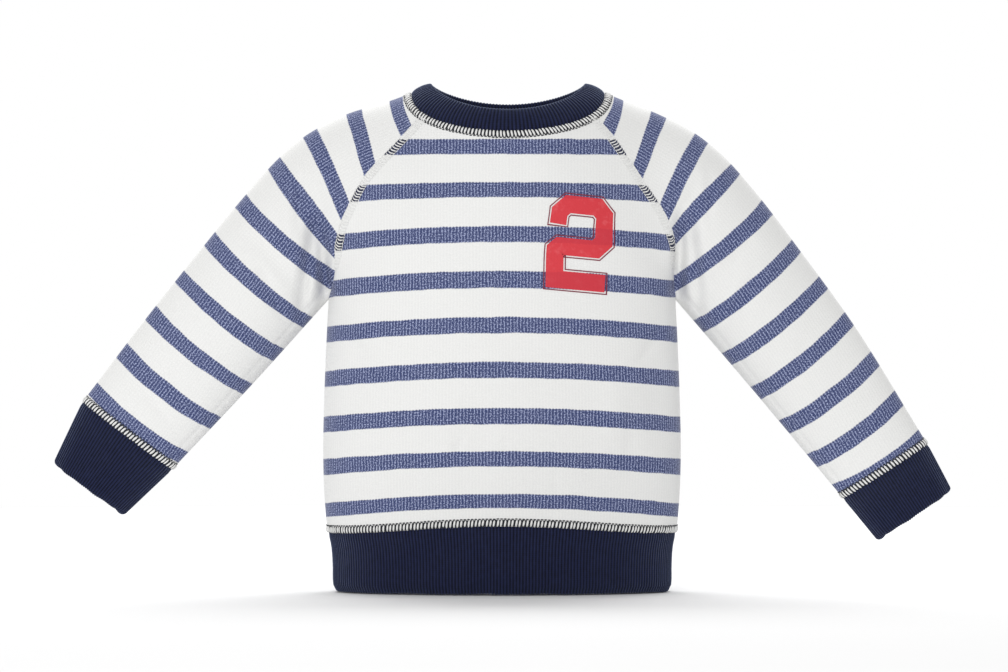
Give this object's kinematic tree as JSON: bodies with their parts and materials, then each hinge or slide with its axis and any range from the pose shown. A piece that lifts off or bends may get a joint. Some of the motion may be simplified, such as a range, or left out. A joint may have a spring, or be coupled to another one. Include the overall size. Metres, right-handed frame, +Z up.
{
  "type": "child's striped long-sleeved raglan sweatshirt",
  "caption": "Hollow filled-out knit top with raglan sleeves, ribbed neckband, cuffs and hem band, held by the wearer at the neck.",
  "frame": {"origin": "midway between the two neck points, where the neckband's seam crosses the shoulders and the wearer holds the garment up", "axes": "+Z up, front faces -Y, the wearer's left sleeve towards +X"},
  "size_m": [0.723, 0.1427, 0.406],
  "materials": {
    "striped_jersey": "soft matt jersey, white with mid-blue stripes",
    "navy_rib": "matt navy rib knit"
  },
  "bodies": {
    "root": {"front": "striped_jersey", "back": "striped_jersey", "sleeve_left_front": "striped_jersey", "sleeve_left_back": "striped_jersey", "sleeve_right_front": "striped_jersey", "sleeve_right_back": "striped_jersey", "neckband": "navy_rib", "cuff_left": "navy_rib", "cuff_right": "navy_rib", "hem_band": "navy_rib"}
  },
  "joints": []
}
